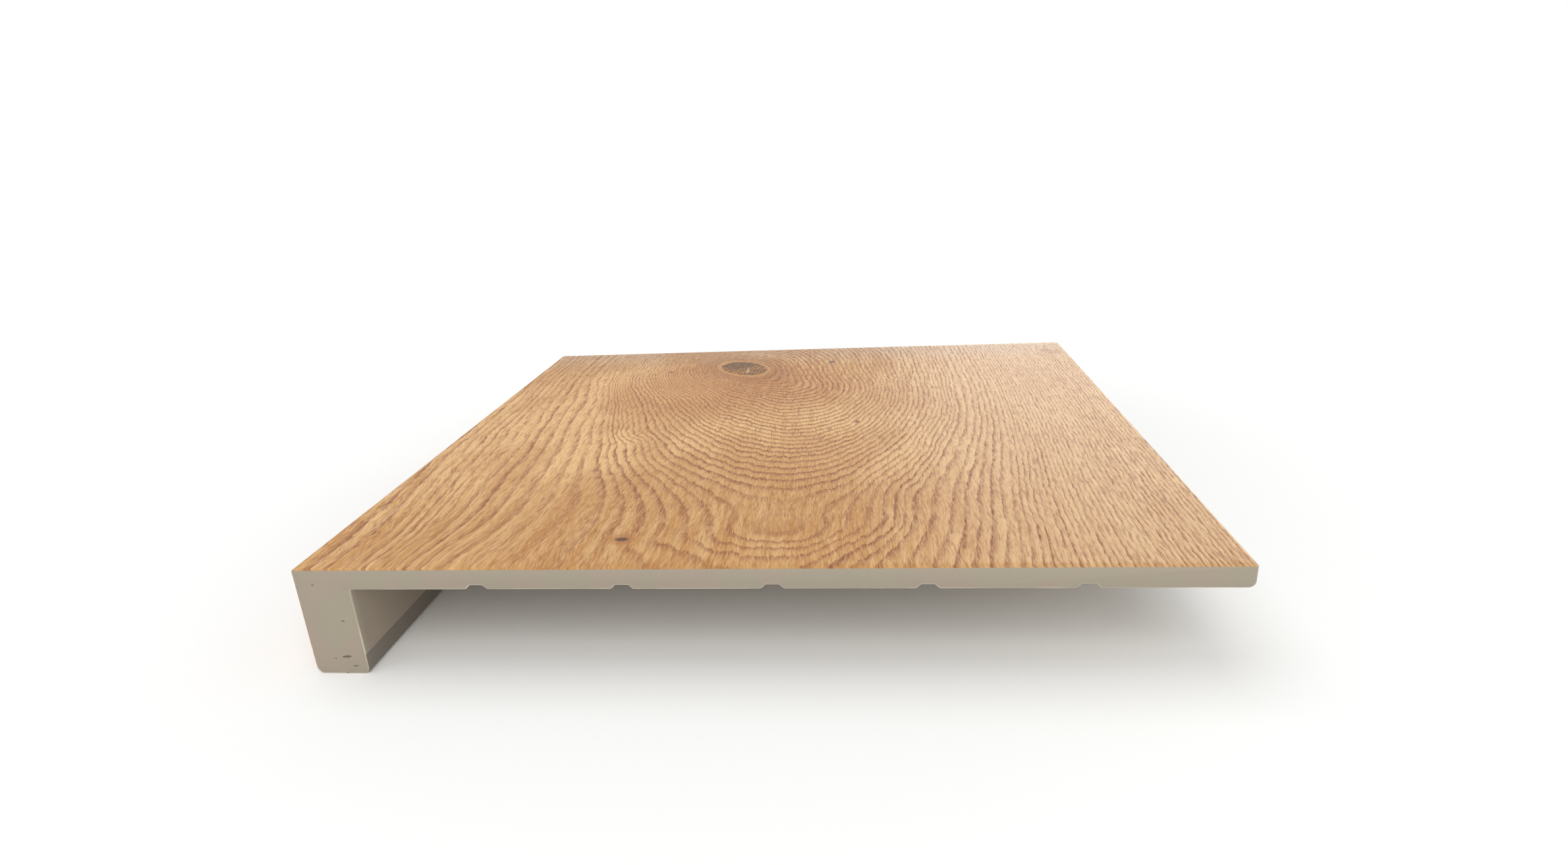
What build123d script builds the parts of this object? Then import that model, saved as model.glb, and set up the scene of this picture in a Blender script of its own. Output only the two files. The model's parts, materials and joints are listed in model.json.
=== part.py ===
from build123d import *

import os

# Porcelain stair tread with a square drop nosing, fired as one piece.
#
# Frame, in millimetres: X runs along the nosing, Y from the nosing's face at the front (-Y) to
# the back edge (+Y), and Z up. The origin is the middle of the footprint, at the nosing's foot.

# Overall sizes
tread_length = 300.0  # along the nosing, end to end
going = 330.0  # nosing face to back edge
slab_thickness = 8.2  # the slab that is walked on
nosing_height = 43.5  # top face to the foot of the nosing
nosing_thickness = 20.5  # front to back through the nosing

# Adhesive grooves along the underside, set out forwards from the back edge
groove_pitch = 52.5
groove_mouth_width = 7.7
groove_depth = 1.6
groove_flank_angle = 45.0
groove_mouth_radius = 1.2
groove_roof_radius = 0.4
least_first_land = 30.0  # least flat underside between the nosing and the first groove

# Rounded corners of the section
nosing_edge_radius = 1.0  # nosing face meets the top
foot_front_radius = 3.0
foot_back_radius = 2.4
root_radius = 0.8  # back of the nosing meets the underside
back_foot_radius = 2.4  # back edge meets the underside

# Broken edges
back_arris = 0.4  # back edge meets the top
end_arris = 0.4  # outline of each sawn end

# Places that follow from the sizes
front = -going / 2
back = going / 2
end = tread_length / 2
top = nosing_height
underside = top - slab_thickness
nosing_back = front + nosing_thickness
grooved_width = going - nosing_thickness - least_first_land
groove_count = int(grooved_width // groove_pitch)
groove_centres = [back - groove_pitch * n for n in range(1, groove_count + 1)]

PICK_TOLERANCE = 0.01


def corners(sketch, across, height):
    """The section's corners at one height, at any of the given places across the tread."""
    return [
        corner
        for corner in sketch.vertices()
        if abs(corner.Y - height) < PICK_TOLERANCE
        and any(abs(corner.X - place) < PICK_TOLERANCE for place in across)
    ]


# The L-shaped section, drawn across the tread and carried to both ends
with BuildPart() as stair_tread:
    with BuildSketch(Plane.YZ) as section:
        with BuildLine():
            Polyline(
                (front, 0),
                (nosing_back, 0),
                (nosing_back, underside),
                (back, underside),
                (back, top),
                (front, top),
                close=True,
            )
        make_face()

        # Each groove is a trapezium that narrows upwards from its mouth
        with Locations(*[(centre, underside) for centre in groove_centres]):
            Trapezoid(
                groove_mouth_width,
                groove_depth,
                groove_flank_angle,
                align=(Align.CENTER, Align.MIN),
                mode=Mode.SUBTRACT,
            )
        mouth_edges = [
            centre + side * groove_mouth_width / 2 for centre in groove_centres for side in (-1, 1)
        ]
        fillet(corners(section, mouth_edges, underside), groove_mouth_radius)
        roof = underside + groove_depth
        roof_corners = [corner for corner in section.vertices() if abs(corner.Y - roof) < PICK_TOLERANCE]
        fillet(roof_corners, groove_roof_radius)

        fillet(corners(section, [front], top), nosing_edge_radius)
        fillet(corners(section, [front], 0), foot_front_radius)
        fillet(corners(section, [nosing_back], 0), foot_back_radius)
        fillet(corners(section, [nosing_back], underside), root_radius)
        fillet(corners(section, [back], underside), back_foot_radius)
        chamfer(corners(section, [back], top), back_arris)
    extrude(amount=end, both=True)

    # The sawn ends have their sharp outline taken off
    sawn_ends = stair_tread.faces().filter_by(Axis.X)
    chamfer(sawn_ends.edges(), end_arris)

stair_tread.part.label = "stair_tread"

os.makedirs("parts", exist_ok=True)
export_step(stair_tread.part, "parts/stair_tread.step")
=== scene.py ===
"""Looks of a porcelain stair tread: oak-effect print on top, bare fired body everywhere else.

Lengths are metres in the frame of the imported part: X runs along the nosing, Y from the nosing's
face to the back edge and Z up. The print is laid out in millimetres, "across" from the nosing's
edge and "away" from the end that faces the camera.
"""

import json
import math

import bmesh
import bpy
import numpy as np
from mathutils import Matrix, Vector, noise


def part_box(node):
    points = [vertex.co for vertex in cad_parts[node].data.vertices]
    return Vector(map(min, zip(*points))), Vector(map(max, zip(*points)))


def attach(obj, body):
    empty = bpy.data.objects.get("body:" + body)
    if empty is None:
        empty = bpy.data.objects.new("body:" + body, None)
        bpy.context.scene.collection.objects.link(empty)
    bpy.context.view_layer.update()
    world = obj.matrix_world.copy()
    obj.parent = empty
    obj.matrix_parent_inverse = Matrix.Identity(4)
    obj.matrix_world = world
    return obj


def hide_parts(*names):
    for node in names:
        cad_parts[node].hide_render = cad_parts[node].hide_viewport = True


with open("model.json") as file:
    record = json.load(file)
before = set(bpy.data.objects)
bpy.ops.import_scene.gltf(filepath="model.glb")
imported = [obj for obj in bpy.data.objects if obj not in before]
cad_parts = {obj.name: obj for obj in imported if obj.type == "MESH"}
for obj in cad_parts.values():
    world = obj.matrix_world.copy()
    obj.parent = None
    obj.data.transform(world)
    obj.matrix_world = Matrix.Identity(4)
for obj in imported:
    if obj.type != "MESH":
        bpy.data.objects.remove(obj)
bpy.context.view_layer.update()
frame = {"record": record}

MM = 0.001
NEAR = 0.01 * MM  # how close a place has to be to count as the same

# The tread's faces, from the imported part
low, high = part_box("stair_tread")
mount_at = {mount["name"]: Vector(mount["pos_m"]) for mount in frame["record"]["mounts"]}
front, back = low.y, high.y
near_end = high.x
foot, top = low.z, high.z
underside = mount_at["bedding_face"].z
nosing_back = mount_at["riser_face"].y
length, going = high.x - low.x, high.y - low.y

# Adhesive grooves, set out forwards from the back edge
GROOVE_PITCH = 52.5 * MM
GROOVE_COUNT = 5
GROOVE_MOUTH = 7.7 * MM
GROOVE_DEPTH = 1.6 * MM
GROOVE_ROOF = GROOVE_MOUTH - 2 * GROOVE_DEPTH
groove_centres = [back - GROOVE_PITCH * n for n in range(1, GROOVE_COUNT + 1)]

# Rounded corners of the section and worn arrises
NOSING_EDGE_RADIUS = 1.0 * MM
FOOT_FRONT_RADIUS = 3.0 * MM
FOOT_BACK_RADIUS = 2.4 * MM
ROOT_RADIUS = 0.8 * MM
BACK_FOOT_RADIUS = 2.4 * MM
GROOVE_MOUTH_RADIUS = 1.2 * MM
GROOVE_ROOF_RADIUS = 0.4 * MM
BACK_ARRIS = 0.4 * MM
END_ARRIS = 0.4 * MM
RIGHT_ANGLE = math.radians(90)
GROOVE_FLANK = math.radians(45)

# The strip low on the back of the nosing, darkened with painted shade
DARK_STRIP_HEIGHT = 8.2 * MM

# Open pores that the saw cut through at the near end, in millimetres: place across and up, half
# sizes and depth
PORE_LEAN = math.radians(4)
SAWN_PORES = [
    ((-158.2, 37.3), (0.45, 0.25), 0.8),
    ((-150.2, 22.4), (0.80, 0.25), 0.8),
    ((-152.0, 7.3), (1.80, 0.50), 1.6),
    ((-156.5, 6.6), (0.80, 0.20), 0.4),
    ((-149.3, 3.3), (1.10, 0.30), 0.9),
    ((-153.0, 0.3), (0.65, 0.40), 1.0),
]

# Divisions of the printed face, fine enough to carry its relief
CUTS_ALONG = 149
CUTS_ACROSS = (19, 16)  # one after the other: 20 strips, each in 17
RELIEF_DEPTH = 0.05 * MM
RELIEF_MARGIN = 2  # millimetres of the print that stay flat along its edges
RELIEF_STEPS = 8

# A face is printed when it lies this near the top or the nosing's face, and at least this share
# of its normal points the same way
PRINT_NEARNESS = 2 * MM
PRINT_FACING = 0.35

# The oak's figure, in millimetres on the print
KNOT_PLACE = (131, 256.5)
KNOT_HALF_SIZES = (21, 14)
KNOT_LEAN = -52  # degrees
FIBRE_PARTING = 17
ARCH_AXIS = 173
ARCH_HEAD = 256

# How broad the rings are, from level to level on the way out from the knot's heart
KNOT_LEVEL = 24
BROAD_LEVEL = 246
RING_LEVELS = [0, KNOT_LEVEL, 66, 121, 153, 195, 226, BROAD_LEVEL, 280, 700]
RING_WIDTHS = [3.4, 4.8, 5.4, 5.2, 6.3, 5.0, 10, 6.6, 4.6]

# The materials' places on the piece: the third is painted shade, the fourth a painted highlight
BARE_BODY, OAK_PRINT, DARK_STRIP, PAINTED_HIGHLIGHT_ARRIS = range(4)


def start_editing(tread):
    bpy.ops.object.select_all(action="DESELECT")
    bpy.context.view_layer.objects.active = tread
    tread.select_set(True)
    bpy.ops.object.mode_set(mode="EDIT")


def pick_vertices(tread, wanted):
    """Selects the vertices whose place passes the test."""
    bpy.ops.mesh.select_mode(type="VERT")
    bpy.ops.mesh.select_all(action="DESELECT")
    mesh = bmesh.from_edit_mesh(tread.data)
    for vert in mesh.verts:
        vert.select_set(wanted(vert.co))
    bmesh.update_edit_mesh(tread.data)


def pick_edges(tread, wanted):
    """Selects the edges whose two ends pass the test together."""
    bpy.ops.mesh.select_mode(type="EDGE")
    bpy.ops.mesh.select_all(action="DESELECT")
    mesh = bmesh.from_edit_mesh(tread.data)
    for edge in mesh.edges:
        edge.select_set(wanted(edge.verts[0].co, edge.verts[1].co))
    bmesh.update_edit_mesh(tread.data)


def cut_across(place):
    bpy.ops.mesh.select_all(action="SELECT")
    bpy.ops.mesh.bisect(plane_co=(0, place, 0), plane_no=(0, 1, 0))


def draw_section(tread):
    """The L of the section, at the near end: a slab, the grooves in it, and the nosing."""
    for centre in groove_centres:
        for half in (GROOVE_MOUTH / 2, GROOVE_ROOF / 2):
            cut_across(centre - half)
            cut_across(centre + half)
    cut_across(nosing_back)

    def in_groove_roof(place):
        level = abs(place.z - underside) < NEAR
        return level and any(abs(place.y - c) < GROOVE_ROOF / 2 + NEAR for c in groove_centres)

    def above_the_foot(a, b):
        level = abs(a.z - underside) < NEAR and abs(b.z - underside) < NEAR
        return level and max(a.y, b.y) < nosing_back + NEAR

    pick_vertices(tread, in_groove_roof)
    bpy.ops.transform.translate(value=(0, 0, GROOVE_DEPTH))
    pick_edges(tread, above_the_foot)
    bpy.ops.mesh.extrude_region_move(TRANSFORM_OT_translate={"value": (0, 0, foot - underside)})


def round_corners(tread, places, radius, turn, segments):
    """Rounds the edges that run the tread's length through these places of the section."""

    def along(a, b):
        if abs(a.y - b.y) > NEAR or abs(a.z - b.z) > NEAR or abs(a.x - b.x) < length / 2:
            return False
        return any(abs(a.y - y) < NEAR and abs(a.z - z) < NEAR for y, z in places)

    pick_edges(tread, along)
    bpy.ops.mesh.bevel(
        offset_type="OFFSET", offset=radius * math.tan(turn / 2), segments=segments, clamp_overlap=False
    )


def round_section(tread):
    roof = underside + GROOVE_DEPTH
    mouths = [(c + s * GROOVE_MOUTH / 2, underside) for c in groove_centres for s in (-1, 1)]
    roofs = [(c + s * GROOVE_ROOF / 2, roof) for c in groove_centres for s in (-1, 1)]
    round_corners(tread, mouths, GROOVE_MOUTH_RADIUS, GROOVE_FLANK, 4)
    round_corners(tread, roofs, GROOVE_ROOF_RADIUS, GROOVE_FLANK, 2)
    round_corners(tread, [(front, top)], NOSING_EDGE_RADIUS, RIGHT_ANGLE, 6)
    round_corners(tread, [(front, foot)], FOOT_FRONT_RADIUS, RIGHT_ANGLE, 8)
    round_corners(tread, [(nosing_back, foot)], FOOT_BACK_RADIUS, RIGHT_ANGLE, 7)
    round_corners(tread, [(nosing_back, underside)], ROOT_RADIUS, RIGHT_ANGLE, 4)
    round_corners(tread, [(back, underside)], BACK_FOOT_RADIUS, RIGHT_ANGLE, 7)
    round_corners(tread, [(back, top)], BACK_ARRIS, RIGHT_ANGLE, 3)


def wear_sawn_ends(tread):
    """Takes the sharp outline off both ends, and colours the bevel paler as a painted highlight."""
    pick_edges(tread, lambda a, b: abs(a.x - b.x) < NEAR and abs(abs(a.x) - near_end) < NEAR)
    bpy.ops.mesh.bevel(
        offset_type="OFFSET", offset=END_ARRIS, segments=2, clamp_overlap=False, material=PAINTED_HIGHLIGHT_ARRIS
    )


def open_sawn_pores(tread):
    """Sinks the pores into the near end with one tool of flattened balls."""
    bpy.ops.object.mode_set(mode="OBJECT")
    bpy.ops.object.select_all(action="DESELECT")
    balls = []
    for (y, z), (half_width, half_height), depth in SAWN_PORES:
        bpy.ops.mesh.primitive_ico_sphere_add(
            subdivisions=3, radius=1, location=(near_end, y * MM, z * MM), rotation=(PORE_LEAN, 0, 0)
        )
        ball = bpy.context.object
        ball.scale = (depth * MM, half_width * MM, half_height * MM)
        balls.append(ball)
    for ball in balls:
        ball.select_set(True)
    bpy.ops.object.join()
    pore_tool = bpy.context.object
    bpy.ops.object.transform_apply(location=True, rotation=True, scale=True)
    cut = tread.modifiers.new("pores", "BOOLEAN")
    cut.operation = "DIFFERENCE"
    cut.solver = "EXACT"
    cut.object = pore_tool
    bpy.ops.object.select_all(action="DESELECT")
    bpy.context.view_layer.objects.active = tread
    tread.select_set(True)
    bpy.ops.object.modifier_apply(modifier=cut.name)
    bpy.data.objects.remove(pore_tool)


def divide_printed_face(tread):
    """Divides the printed face into small quads, and every long face with it along the tread."""
    top_front, top_back = front + NOSING_EDGE_RADIUS, back - BACK_ARRIS

    def across_the_top(a, b):
        level = abs(a.z - b.z) < NEAR and a.z > top - END_ARRIS - NEAR
        straight = abs(a.x - b.x) < NEAR and min(a.y, b.y) > top_front - NEAR
        return level and straight and max(a.y, b.y) < top_back + NEAR and abs(a.y - b.y) > MM

    for cuts in CUTS_ACROSS:
        pick_edges(tread, across_the_top)
        bpy.ops.mesh.subdivide(number_cuts=cuts, quadcorner="INNERVERT")

    def along(a, b):
        return abs(a.x - b.x) > length / 2

    pick_edges(tread, along)
    bpy.ops.mesh.subdivide(number_cuts=CUTS_ALONG, quadcorner="INNERVERT")


def model_tread():
    """The whole tread in one mesh, drawn as a section at the near end and carried to the far end."""
    bpy.ops.object.select_all(action="DESELECT")
    bpy.ops.mesh.primitive_plane_add(
        size=1, location=(near_end, 0, (top + underside) / 2), rotation=(0, RIGHT_ANGLE, 0)
    )
    tread = bpy.context.object
    tread.name = tread.data.name = "fired_tread"

    # Bare body all over, oak on top, painted shade on a strip, and a painted highlight on the arrises
    for material in (
        fired_body("bare_porcelain_body", "#AE9F8E", "#ABA08D"),
        oak_print(),
        fired_body("porcelain_painted_shade", "#8A8178", "#877E73"),
        fired_body("porcelain_painted_highlight_arris", "#D2C8B9", "#BBB09E"),
    ):
        tread.data.materials.append(material)
    tread.scale = (top - underside, going, 1)
    bpy.ops.object.transform_apply(location=True, rotation=True, scale=True)
    start_editing(tread)
    draw_section(tread)
    bpy.ops.mesh.select_all(action="SELECT")
    bpy.ops.mesh.extrude_region_move(TRANSFORM_OT_translate={"value": (-length, 0, 0)})
    bpy.ops.mesh.select_all(action="SELECT")
    bpy.ops.mesh.normals_make_consistent(inside=False)
    bpy.ops.mesh.dissolve_limited(angle_limit=math.radians(1))
    round_section(tread)
    wear_sawn_ends(tread)
    # Cut the long faces where the painted shade on the nosing's back ends
    bpy.ops.mesh.select_all(action="SELECT")
    bpy.ops.mesh.bisect(plane_co=(0, 0, foot + DARK_STRIP_HEIGHT), plane_no=(0, 0, 1))
    open_sawn_pores(tread)
    start_editing(tread)
    divide_printed_face(tread)
    bpy.ops.object.mode_set(mode="OBJECT")
    return tread


def sigmoid(t):
    return 1 / (1 + np.exp(-t))


def bell(t):
    return np.exp(-t * t)


def bow(across, away):
    """Carries the lines of the left side out and back, the way they bow on the oak."""
    out = 7 * bell((across - 55) / 26) * bell((away - 2) / 24)
    home = 10 * bell((across - 24) / 20) * sigmoid((75 - away) / 20)
    return across + out - home


def measure_rings(across, away):
    """The oak's figure: how many growth rings out from the knot each place of the print lies.

    Around the knot the rings are closed. Towards the near end they become nested arches about
    an axis that runs beside the knot, and towards both sides they straighten into long lines.
    Returns the ring count and the reach from the knot, which is 1 on its outline.
    """
    from_knot_across, from_knot_away = across - KNOT_PLACE[0], away - KNOT_PLACE[1]
    lean = math.radians(KNOT_LEAN)
    long_way = from_knot_across * math.cos(lean) + from_knot_away * math.sin(lean)
    short_way = from_knot_away * math.cos(lean) - from_knot_across * math.sin(lean)
    reach = np.hypot(long_way / KNOT_HALF_SIZES[0], short_way / KNOT_HALF_SIZES[1])

    # Places where the lines are pushed aside: by the pin knot, by the small figure, by a kink
    across = bow(across, away)
    across = across + 5 * bell((across - 126) / 22) * bell((away - 21) / 10)
    across = across - 7 * bell((across - 212) / 18) * bell((away - 36) / 20)
    kink = np.tanh((away - 133) / 8) * bell((away - 133) / 16)
    across = across + 4 * bell((across - 96) / 14) * kink

    # The arches' axis leans to the knot at the far end
    axis_shift = 42 * sigmoid((away - 222) / 13) * bell((across - 135) / 80)
    aside = across + axis_shift - ARCH_AXIS
    widen_by_knot = 0.25 * sigmoid((away - 165) / 14) * bell(aside / 85)
    widen_near_end = 0.5 * sigmoid((12 - away) / 22) * bell(aside / 90)
    left_arm = (1 - widen_by_knot - widen_near_end) / 0.47
    right_arm = (1 - 0.28 * sigmoid((away - 215) / 12) * bell((across - 150) / 60)) / 0.37
    right_share = sigmoid(aside / 4)
    sideways = np.hypot(aside * (left_arm * (1 - right_share) + right_arm * right_share), 2)

    # Towards the near end the arches open out instead of closing
    below = ARCH_HEAD - away
    lengthways = np.where(below > 0, below, -1.35 * below)
    lengthways = lengthways - 6.8 * np.log1p(np.exp((lengthways - 188) / 10))
    straighten = 1 / (1 + (aside / np.where(aside < 0, 106, 98)) ** 4)
    level = sideways + straighten * (np.hypot(sideways, lengthways) - sideways)
    level = level - 12 * bell((across - ARCH_AXIS) / 24) * bell((away - 29) / 15)

    # Close to the knot the rings follow its outline
    hug = np.exp(-1.6 * np.maximum(reach - 1, 0))
    level = level * (1 - hug) + hug * KNOT_LEVEL * reach

    # The rings are broader on the left of the arches
    level = level - 0.5 * (1 - right_share) * np.maximum(level - BROAD_LEVEL, 0)
    counts = np.concatenate(([0], np.cumsum(np.diff(RING_LEVELS) / RING_WIDTHS)))
    return np.interp(level, RING_LEVELS, counts), reach


def wander(across, away, width, run, seed):
    """A slow drift between -1 and 1 over the print, for lines that no one drew with a ruler."""
    return np.array([noise.noise((a / width, b / run, seed)) for a, b in zip(across, away)])


def lay_out_print(tread):
    """Stores on the mesh where each place lies in the oak: its ring, its fibre and the knot."""
    mesh = tread.data
    place = np.zeros(len(mesh.vertices) * 3)
    mesh.vertices.foreach_get("co", place)
    x, y, z = place.reshape(-1, 3).T
    across = ((y - front) - (top - z)) / MM  # the print folds down over the nosing's face
    away = (near_end - x) / MM

    # Slow drifts bend the figure, and less so by the knot and towards the back edge
    drift_across = 2.2 * wander(across, away, 22, 48, 1) + 1.0 * wander(across, away, 8, 17, 2)
    drift_away = 4.5 * wander(across, away, 17, 60, 3) + 1.6 * wander(across, away, 6, 30, 4)
    calm = np.clip(np.hypot(across - KNOT_PLACE[0], away - KNOT_PLACE[1]) / 70, 0.15, 1)
    calm = calm * (1 - 0.7 * sigmoid((across - 262) / 8))
    drawn_across, drawn_away = across + drift_across * calm, away + drift_away * calm
    rings, _ = measure_rings(drawn_across, drawn_away)
    rings_ahead, reach = measure_rings(drawn_across, drawn_away + 1)
    rings_beside, _ = measure_rings(drawn_across + 1, drawn_away)

    # Fibres run along the tread, meander a little and part around the knot
    meander = 3.0 * wander(across, away, 30, 60, 5) + 1.2 * wander(across, away, 12, 25, 6)
    meander = meander + 0.7 * wander(across, away, 5, 9, 7)
    aside, beyond = bow(across, away) + meander * calm - KNOT_PLACE[0], away - KNOT_PLACE[1]
    spread = aside**2 + beyond**2
    fibre = KNOT_PLACE[0] + aside * spread / (spread + FIBRE_PARTING**2)

    for name, values in (
        ("ring", rings),
        ("rings_per_mm_along", np.abs(rings_ahead - rings)),
        ("rings_per_mm", np.hypot(rings_ahead - rings, rings_beside - rings)),
        ("knot_reach", reach),
    ):
        mesh.attributes.new(name, "FLOAT", "POINT").data.foreach_set("value", values)
    for name, first in (("grain", fibre), ("print_place", across)):
        values = np.column_stack((first, away, np.zeros_like(first))).ravel()
        mesh.attributes.new(name, "FLOAT_VECTOR", "POINT").data.foreach_set("vector", values)
    return rings, across, away, z


def press_relief(tread, rings, across, away, height):
    """Presses the early wood, about two fifths of each ring, a little into the printed face."""
    early_wood = np.clip(1 - 2.6 * (rings % 1), 0, 1)
    from_long_edge = np.minimum(across, going / MM - across)
    from_end = np.minimum(away, length / MM - away)
    inner = (np.minimum(from_long_edge, from_end) > RELIEF_MARGIN) & (height > top - NEAR)
    depth = np.where(inner, early_wood, 0)
    group = tread.vertex_groups.new(name="early_wood")
    for step in range(1, RELIEF_STEPS + 1):
        level = step / RELIEF_STEPS
        chosen = np.flatnonzero(np.abs(depth - level) <= 0.5 / RELIEF_STEPS)
        group.add(chosen.tolist(), level, "REPLACE")
    press = tread.modifiers.new("relief", "DISPLACE")
    press.direction = "Z"
    press.mid_level = 0
    press.strength = -RELIEF_DEPTH
    press.vertex_group = group.name
    bpy.ops.object.modifier_apply(modifier=press.name)
    tread.vertex_groups.clear()


def is_printed(face):
    place, facing = face.center, face.normal
    on_top = facing.z > PRINT_FACING and place.z > top - PRINT_NEARNESS
    on_nosing = facing.y < -PRINT_FACING and place.y < front + PRINT_NEARNESS
    return on_top or (on_nosing and place.z > foot + FOOT_FRONT_RADIUS)


# The strip low on the nosing's back, whose dark colour is painted shade
def is_painted_shade_strip(face):
    low_down = face.center.z < foot + DARK_STRIP_HEIGHT
    return face.normal.y > 0.5 and abs(face.normal.x) < 0.5 and low_down


def lay_out_bake_map(tread):
    """A map for the finished colours: the print and both ends full size, hidden faces smaller."""
    mesh = tread.data
    uv = mesh.uv_layers.new(name="OFBake")
    sheet, gap, small = 470 * MM, 3 * MM, 0.28
    drop = top - foot
    for face in mesh.polygons:
        for corner in face.loop_indices:
            p = mesh.vertices[mesh.loops[corner].vertex_index].co
            if is_printed(face):
                u, v = (p.y - front) - (top - p.z) + drop, near_end - p.x
            elif abs(face.normal.x) > 0.7:
                row = 0 if face.normal.x > 0 else 1
                u, v = p.y - front, length + gap + row * (drop + gap) + p.z - foot
            elif face.normal.z < -0.5:
                u, v = going + drop + gap + small * (p.y - front), small * (near_end - p.x)
            else:
                u = going + drop + gap + small * (p.z - foot) + (0 if face.normal.y > 0 else drop)
                v = small * length + gap + small * (near_end - p.x)
            uv.data[corner].uv = (u / sheet, v / sheet)


def linear(hex_colour):
    """A colour written as sRGB hex, as the linear values that a socket takes."""
    parts = [int(hex_colour[i : i + 2], 16) / 255 for i in (1, 3, 5)]
    return tuple(p / 12.92 if p <= 0.04045 else ((p + 0.055) / 1.055) ** 2.4 for p in parts) + (1.0,)


def new_material(name):
    material = bpy.data.materials.new(name)
    material.use_nodes = True
    tree = material.node_tree
    tree.nodes.clear()
    return material, tree


def add(tree, kind, inputs=None, output=0, **settings):
    """Adds a node, sets it up, feeds its inputs with values or links, and gives one output."""
    node = tree.nodes.new("ShaderNode" + kind)
    for name, value in settings.items():
        setattr(node, name, value)
    for key, value in (inputs or {}).items():
        if isinstance(value, bpy.types.NodeSocket):
            tree.links.new(value, node.inputs[key])
        else:
            node.inputs[key].default_value = value
    return node.outputs[output] if node.outputs else None


def streaks(tree, grain, width, run, detail=2.0, seed=0.0):
    """Noise drawn out along the fibre: streaks this wide and this long, in millimetres."""
    stretched = add(tree, "VectorMath", {0: grain, 1: (1 / width, 1 / run, 1)}, operation="MULTIPLY")
    moved = add(tree, "VectorMath", {0: stretched, 1: (0, 0, seed)}, operation="ADD")
    return add(tree, "TexNoise", {"Vector": moved, "Scale": 1.0, "Detail": detail, "Roughness": 0.55})


def between(tree, value, low_end, high_end, low_value=0.0, high_value=1.0):
    """Turns one span of values into another, smoothly and without passing its ends."""
    inputs = {"Value": value, 1: low_end, 2: high_end, 3: low_value, 4: high_value}
    return add(tree, "MapRange", inputs, interpolation_type="SMOOTHSTEP")


def sway(tree, grain, amount, width, run, seed):
    """A drift both ways along the streaks, by half this amount at most."""
    wave = streaks(tree, grain, width, run, seed=seed)
    return add(tree, "Math", {0: wave, 1: amount, 2: -amount / 2}, operation="MULTIPLY_ADD")


def spot(tree, place, half_width, half_run, share=1.0):
    """A soft mark on the print, with this share at its middle; place and sizes in millimetres."""
    print_place = add(tree, "Attribute", output="Vector", attribute_name="print_place")
    away = add(tree, "VectorMath", {0: print_place, 1: (*place, 0)}, operation="SUBTRACT")
    shrink = (1 / half_width, 1 / half_run, 0)
    scaled = add(tree, "VectorMath", {0: away, 1: shrink}, operation="MULTIPLY")
    reach = add(tree, "VectorMath", {0: scaled}, output="Value", operation="LENGTH")
    return between(tree, reach, 1.15, 0.55, 0, share)


def overprint(tree, colour, *tones):
    """Lays one tone after another over a colour, as inks are printed, each by its own share."""
    for hex_colour, share in tones:
        colour = add(tree, "MixRGB", {0: share, 1: colour, 2: linear(hex_colour)})
    return colour


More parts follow.
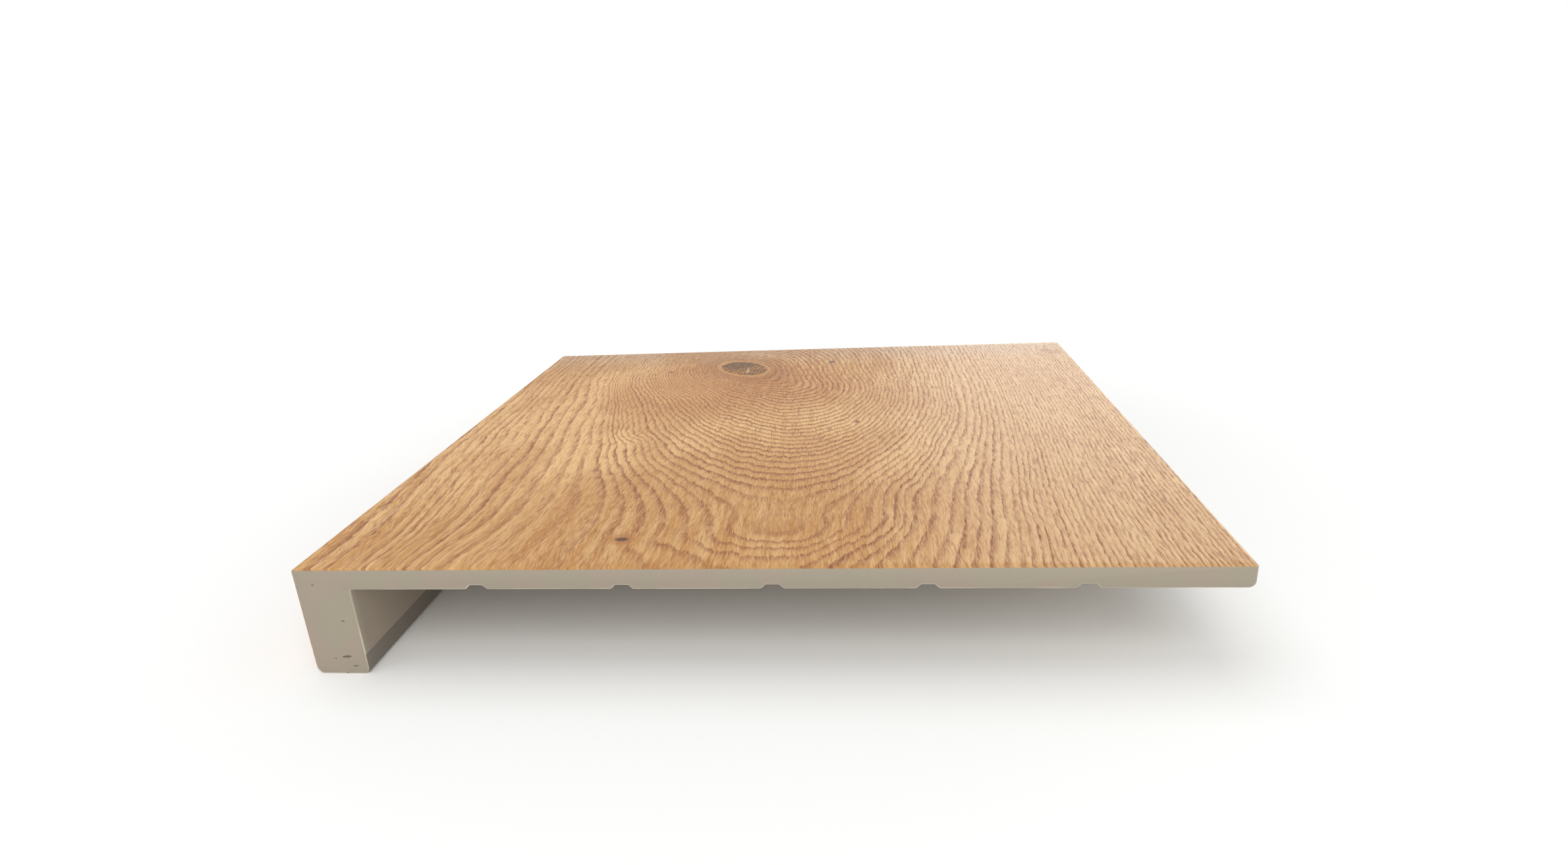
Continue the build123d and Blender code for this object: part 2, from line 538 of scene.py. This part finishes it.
def oak_print():
    """Porcelain printed with oak by ink jet, under a matt clear glaze: silky, with a soft sheen."""
    material, tree = new_material("matt_glazed_porcelain_oak_print")
    grain = add(tree, "Attribute", output="Vector", attribute_name="grain")
    ring = add(tree, "Attribute", output="Fac", attribute_name="ring")
    pace = add(tree, "Attribute", output="Fac", attribute_name="rings_per_mm")
    pace_along = add(tree, "Attribute", output="Fac", attribute_name="rings_per_mm_along")
    reach = add(tree, "Attribute", output="Fac", attribute_name="knot_reach")
    flat_place = add(tree, "Attribute", output="Vector", attribute_name="print_place")
    print_across = add(tree, "SeparateXYZ", {"Vector": flat_place}, output="X")
    print_away = add(tree, "SeparateXYZ", {"Vector": flat_place}, output="Y")

    # Ring lines sway a little, and step along the fibre from one fibre to the next
    fine_steps = sway(tree, grain, 3.0, 0.8, 14, 3)
    broad_steps = sway(tree, grain, 6.0, 2.6, 24, 4)
    slow_sway = sway(tree, grain, 2.0, 4, 7, 5)
    calm_by_knot = between(tree, reach, 2, 14, 0.3, 1)
    steps = add(tree, "Math", {0: fine_steps, 1: broad_steps}, operation="ADD")
    steps = add(tree, "Math", {0: steps, 1: calm_by_knot}, operation="MULTIPLY")
    age = add(tree, "Math", {0: pace_along, 1: steps, 2: ring}, operation="MULTIPLY_ADD")
    age = add(tree, "Math", {0: pace, 1: slow_sway, 2: age}, operation="MULTIPLY_ADD")
    phase = add(tree, "Math", {0: age}, operation="FRACT")
    year = add(tree, "Math", {0: age}, operation="FLOOR")

    # Some years are drawn faintly, and every line comes and goes on its way
    faint_year = between(tree, print_across, 55, 85, 0.35, 0.6)
    faintest = between(tree, pace_along, 0.05, 0.2, 0.4, 0.8)
    year_noise = add(tree, "TexWhiteNoise", {"W": year}, noise_dimensions="1D")
    strength = between(tree, year_noise, 0, 1, faint_year, 1)
    for share in (
        between(tree, streaks(tree, grain, 2.5, 13, seed=6), 0.38, 0.58, faintest, 1),
        between(tree, pace, 0.06, 0.14, 0.35, 1),
        between(tree, print_across, 90, 150, 0.86, 1),
        between(tree, print_across, 240, 275, 1, 0.9),
    ):
        strength = add(tree, "Math", {0: strength, 1: share}, operation="MULTIPLY")

    # Each year starts with a dark line that fades, and a weaker shade that fades more slowly
    fade = between(tree, phase, 0, 0.46, 1, 0)
    onset = between(tree, phase, 0.88, 1)
    slow_fade = between(tree, phase, 0, 0.85, 0.35, 0)
    line = add(tree, "Math", {0: fade, 1: onset}, operation="ADD")
    line = add(tree, "Math", {0: strength, 1: line}, operation="MULTIPLY")
    shade = add(tree, "Math", {0: strength, 1: slow_fade}, operation="MULTIPLY")

    # Pores: short dark ticks along the fibre, crowded in the early wood. They are drawn wider
    # than oak's real pores, which would be too fine to show.
    ticks = between(tree, streaks(tree, grain, 0.55, 4, seed=7), 0.48, 0.58)
    scattered = between(tree, pace_along, 0.05, 0.2, 0.16, 0.05)
    crowding = add(tree, "Math", {0: line, 1: 0.8, 2: scattered}, operation="MULTIPLY_ADD")
    pores = add(tree, "Math", {0: ticks, 1: crowding}, operation="MULTIPLY")

    # Checks: fine cracks along the fibre that run from one ring to the next
    year_shift = add(tree, "Math", {0: year, 1: 7.3}, operation="MULTIPLY")
    own_year = add(tree, "CombineXYZ", {"Z": year_shift})
    shifted = add(tree, "VectorMath", {0: grain, 1: own_year}, operation="ADD")
    checks = between(tree, streaks(tree, shifted, 0.7, 30, seed=13), 0.6, 0.66)
    for share in (between(tree, pace_along, 0.12, 0.2), spot(tree, (165, 160), 80, 80)):
        checks = add(tree, "Math", {0: checks, 1: share}, operation="MULTIPLY")

    # The wood between the lines: broad bands, slow clouds, short strokes and fine hairs; painted sheen
    banded = between(tree, streaks(tree, grain, 2.6, 60, seed=17), 0.35, 0.65)
    clouds = streaks(tree, grain, 40, 70, seed=23)
    cloud_share = between(tree, print_across, 200, 260, 0.4, 0.12)
    strokes = streaks(tree, grain, 1.3, 11, seed=19)
    stroke_share = between(tree, pace_along, 0.2, 0.08, 0, 0.5)
    hairs = streaks(tree, grain, 0.5, 6, detail=3, seed=11)
    hair_share = between(tree, pace_along, 0.05, 0.2, 0.44, 0.42)
    wood = add(tree, "MixRGB", {0: banded, 1: linear("#EBBD7F"), 2: linear("#CD954D")})
    wood = overprint(
        tree,
        wood,
        ("#FACA8A", spot(tree, (62, 170), 85, 120, 0.7)),
        ("#F2C688", spot(tree, (165, 130), 110, 75, 0.5)),
        ("#AD6F20", spot(tree, (150, 35), 120, 75, 0.3)),
        # Paler and greyer towards the back edge and towards the far end: a painted sheen
        ("#DBB585", between(tree, print_across, 190, 300, 0, 0.6)),
        ("#C1B09C", between(tree, print_away, 250, 300, 0, 0.55)),
        ("#B26508", spot(tree, (130, 215), 80, 60, 0.45)),
        ("#B77623", between(tree, clouds, 0.42, 0.62, 0, cloud_share)),
        ("#92500E", between(tree, strokes, 0.54, 0.66, 0, stroke_share)),
        ("#A05C19", shade),
        ("#8F4707", line),
        ("#EBC085", between(tree, hairs, 0.51, 0.66, 0, hair_share)),
        ("#9B5714", between(tree, hairs, 0.48, 0.34, 0, hair_share)),
        ("#7A3E08", add(tree, "Math", {0: pores, 1: 0.78}, operation="MULTIPLY")),
        ("#7A3E08", add(tree, "Math", {0: checks, 1: 0.7}, operation="MULTIPLY")),
    )

    # The knot: dark and speckled, with a pale crack, in a pale ring and a brown halo
    speckled = between(tree, streaks(tree, flat_place, 0.8, 3.2, detail=4, seed=31), 0.34, 0.66)
    blotch = streaks(tree, flat_place, 5, 9, detail=2, seed=37)
    heart = add(tree, "MixRGB", {0: speckled, 1: linear("#2E1602"), 2: linear("#C08024")})
    heart = overprint(
        tree,
        heart,
        ("#4C2C0A", between(tree, blotch, 0.46, 0.6, 0, 0.4)),
        ("#3A1E04", spot(tree, (126, 263), 13, 9, 0.5)),
        ("#D3B58A", spot(tree, (134, 250), 0.9, 7, 0.7)),
    )
    edge = add(tree, "Math", {0: reach, 1: sway(tree, flat_place, 0.2, 4, 5, 41)}, operation="ADD")
    wood = overprint(
        tree,
        wood,
        ("#8F5416", between(tree, edge, 2.4, 1.0, 0, 0.45)),
        ("#DDA65C", between(tree, edge, 1.1, 0.98, 0, 0.45)),
    )
    wood = add(tree, "MixRGB", {0: between(tree, edge, 0.9, 0.82), 1: wood, 2: heart})

    # Single marks: a pin knot in its stain, flecks, a cracked stain and a fine pale scratch
    wood = overprint(
        tree,
        wood,
        ("#AD6B21", spot(tree, (115, 22), 6.5, 5.0, 0.6)),
        ("#542800", spot(tree, (115, 22), 3.0, 1.8, 0.95)),
        ("#7C4614", spot(tree, (86, 251), 1.9, 2.2, 0.8)),
        ("#6B533A", spot(tree, (185, 265), 2.4, 3.6, 0.85)),
        ("#743808", spot(tree, (201, 150), 1.4, 2.4, 0.85)),
        ("#73471E", spot(tree, (246, 138), 0.9, 1.8, 0.6)),
        ("#73471E", spot(tree, (257, 122), 0.8, 1.6, 0.6)),
        ("#A16C21", spot(tree, (322, 276), 6.5, 6.0, 0.5)),
        ("#6D3A18", spot(tree, (319, 281), 5.0, 0.9, 0.8)),
        ("#EBD4B4", spot(tree, (13, 49), 0.35, 22, 0.5)),
        ("#AA6E1E", spot(tree, (172, 31), 13, 9, 0.3)),
    )

    # Pores, checks and lines lie a little lower than the hairs between them, and pores shine less
    height = 0.0
    for mark, lift in ((pores, -0.6), (checks, -0.25), (line, -0.3), (hairs, 0.4)):
        height = add(tree, "Math", {0: mark, 1: lift, 2: height}, operation="MULTIPLY_ADD")
    bump = add(tree, "Bump", {"Height": height, "Distance": 0.15 * MM, "Strength": 0.8})
    roughness = between(tree, pores, 0, 1, 0.46, 0.65)
    shader = add(
        tree,
        "BsdfPrincipled",
        {"Base Color": wood, "Roughness": roughness, "IOR": 1.5, "Normal": bump},
    )
    add(tree, "OutputMaterial", {"Surface": shader})
    return material


def fired_body(name, warm, cool):
    """Unglazed porcelain body: dense, dry and matt, mottled where the clays didn't quite mix."""
    material, tree = new_material(name)
    place = add(tree, "TexCoord", output="Object")
    mottle = add(tree, "TexNoise", {"Vector": place, "Scale": 1 / (14 * MM), "Detail": 2.0})
    powder = add(tree, "TexNoise", {"Vector": place, "Scale": 1 / (0.9 * MM), "Detail": 4.0})
    mottled = between(tree, mottle, 0.4, 0.6)
    colour = add(tree, "MixRGB", {0: mottled, 1: linear(warm), 2: linear(cool)})
    colour = overprint(tree, colour, ("#8C8271", between(tree, powder, 0.35, 0.2, 0, 0.25)))
    bump = add(tree, "Bump", {"Height": powder, "Distance": 0.06 * MM, "Strength": 0.5})
    shader = add(
        tree,
        "BsdfPrincipled",
        {"Base Color": colour, "Roughness": 0.72, "IOR": 1.5, "Normal": bump},
    )
    add(tree, "OutputMaterial", {"Surface": shader})
    return material


tread = model_tread()
press_relief(tread, *lay_out_print(tread))
# Oak print on the top and the nosing's face, painted shade on the strip low on the nosing's back
for face in tread.data.polygons:
    if is_printed(face):
        face.material_index = OAK_PRINT
    elif is_painted_shade_strip(face):
        face.material_index = DARK_STRIP
lay_out_bake_map(tread)
bpy.ops.object.shade_smooth_by_angle(angle=math.radians(25))
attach(tread, "root")
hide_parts("stair_tread")


def seen_rays(tree):
    """1 for the rays that show the studio to the eye, directly, in a sheen or through glass."""
    camera_ray = add(tree, "LightPath", output="Is Camera Ray")
    glossy_ray = add(tree, "LightPath", output="Is Glossy Ray")
    through_ray = add(tree, "LightPath", output="Is Transmission Ray")
    seen = add(tree, "Math", {0: camera_ray, 1: glossy_ray}, operation="MAXIMUM")
    return add(tree, "Math", {0: seen, 1: through_ray}, operation="MAXIMUM")


def make_floor():
    bpy.ops.object.select_all(action="DESELECT")
    bpy.ops.mesh.primitive_plane_add(size=40, location=(0, 0, foot))
    floor = bpy.context.object
    floor.name = floor.data.name = "studio_floor"
    material, tree = new_material("pale_studio_floor")

    # The eye sees the floor paler than it lights the tread, and white away from the tread
    matt = add(tree, "BsdfDiffuse", {"Color": linear("#F2F2F0")})
    lift = add(tree, "BsdfDiffuse", {"Color": linear("#7C7C7C")})
    place = add(tree, "TexCoord", output="Object")
    from_tread = add(tree, "VectorMath", {0: place}, output="Value", operation="LENGTH")
    glow_strength = between(tree, from_tread, 0.2, 0.8, 0, 0.7)
    glow = add(tree, "Emission", {"Color": linear("#FFFFFF"), "Strength": glow_strength})
    lifted = add(tree, "AddShader", {0: matt, 1: lift})
    lit = add(tree, "AddShader", {0: lifted, 1: glow})
    floor_look = add(tree, "MixShader", {0: seen_rays(tree), 1: matt, 2: lit})
    add(tree, "OutputMaterial", {"Surface": floor_look})
    floor.data.materials.append(material)


def light_the_studio():
    world = bpy.data.worlds.new("studio_daylight")
    bpy.context.scene.world = world
    world.use_nodes = True
    tree = world.node_tree
    tree.nodes.clear()
    fill = add(tree, "Background", {"Color": linear("#F4F6F8"), "Strength": 0.46})
    white = add(tree, "Background", {"Color": linear("#FFFFFF"), "Strength": 1.0})
    mix = add(tree, "MixShader", {0: seen_rays(tree), 1: fill, 2: white})
    add(tree, "OutputWorld", {"Surface": mix})

    def softbox(name, place, aim, size, power, colour="#FFFFFF"):
        lamp = bpy.data.lights.new(name, "AREA")
        lamp.shape = "RECTANGLE"
        lamp.size, lamp.size_y = size
        lamp.energy = power
        lamp.color = linear(colour)[:3]
        lamp_object = bpy.data.objects.new(name, lamp)
        bpy.context.scene.collection.objects.link(lamp_object)
        lamp_object.location = place
        lamp_object.rotation_euler = (Vector(aim) - Vector(place)).to_track_quat("-Z", "Y").to_euler()

    softbox("window_behind_right", (-1.7, 0.72, 0.34), (0, 0.05, 0.03), (1.2, 0.36), 8.6, "#FFF8EE")
    softbox("fill_in_front", (1.5, 0.4, 1.2), (0, 0, 0.02), (1.4, 1.4), 16)
    softbox("soft_overhead", (0, -0.4, 1.7), (0, 0, 0.02), (1.6, 1.6), 9.2)


def place_camera():
    """The viewpoint that the tread's corners give: just above it, close to its near end."""
    camera = bpy.data.cameras.new("camera")
    camera.sensor_fit = "HORIZONTAL"
    camera.sensor_width = 36
    camera.lens = 19.703
    camera.clip_start = 0.01
    camera_object = bpy.data.objects.new("camera", camera)
    bpy.context.scene.collection.objects.link(camera_object)
    turn = Matrix.Rotation(math.radians(95.75), 4, "Z")
    tip = Matrix.Rotation(math.radians(90 - 19.55), 4, "X")
    roll = Matrix.Rotation(math.radians(-3.04), 4, "Z")
    camera_object.matrix_world = Matrix.Translation((0.4059, 0.0401, 0.1832)) @ turn @ tip @ roll
    bpy.context.scene.camera = camera_object


make_floor()
light_the_studio()
place_camera()
bpy.context.scene.view_settings.view_transform = "Standard"
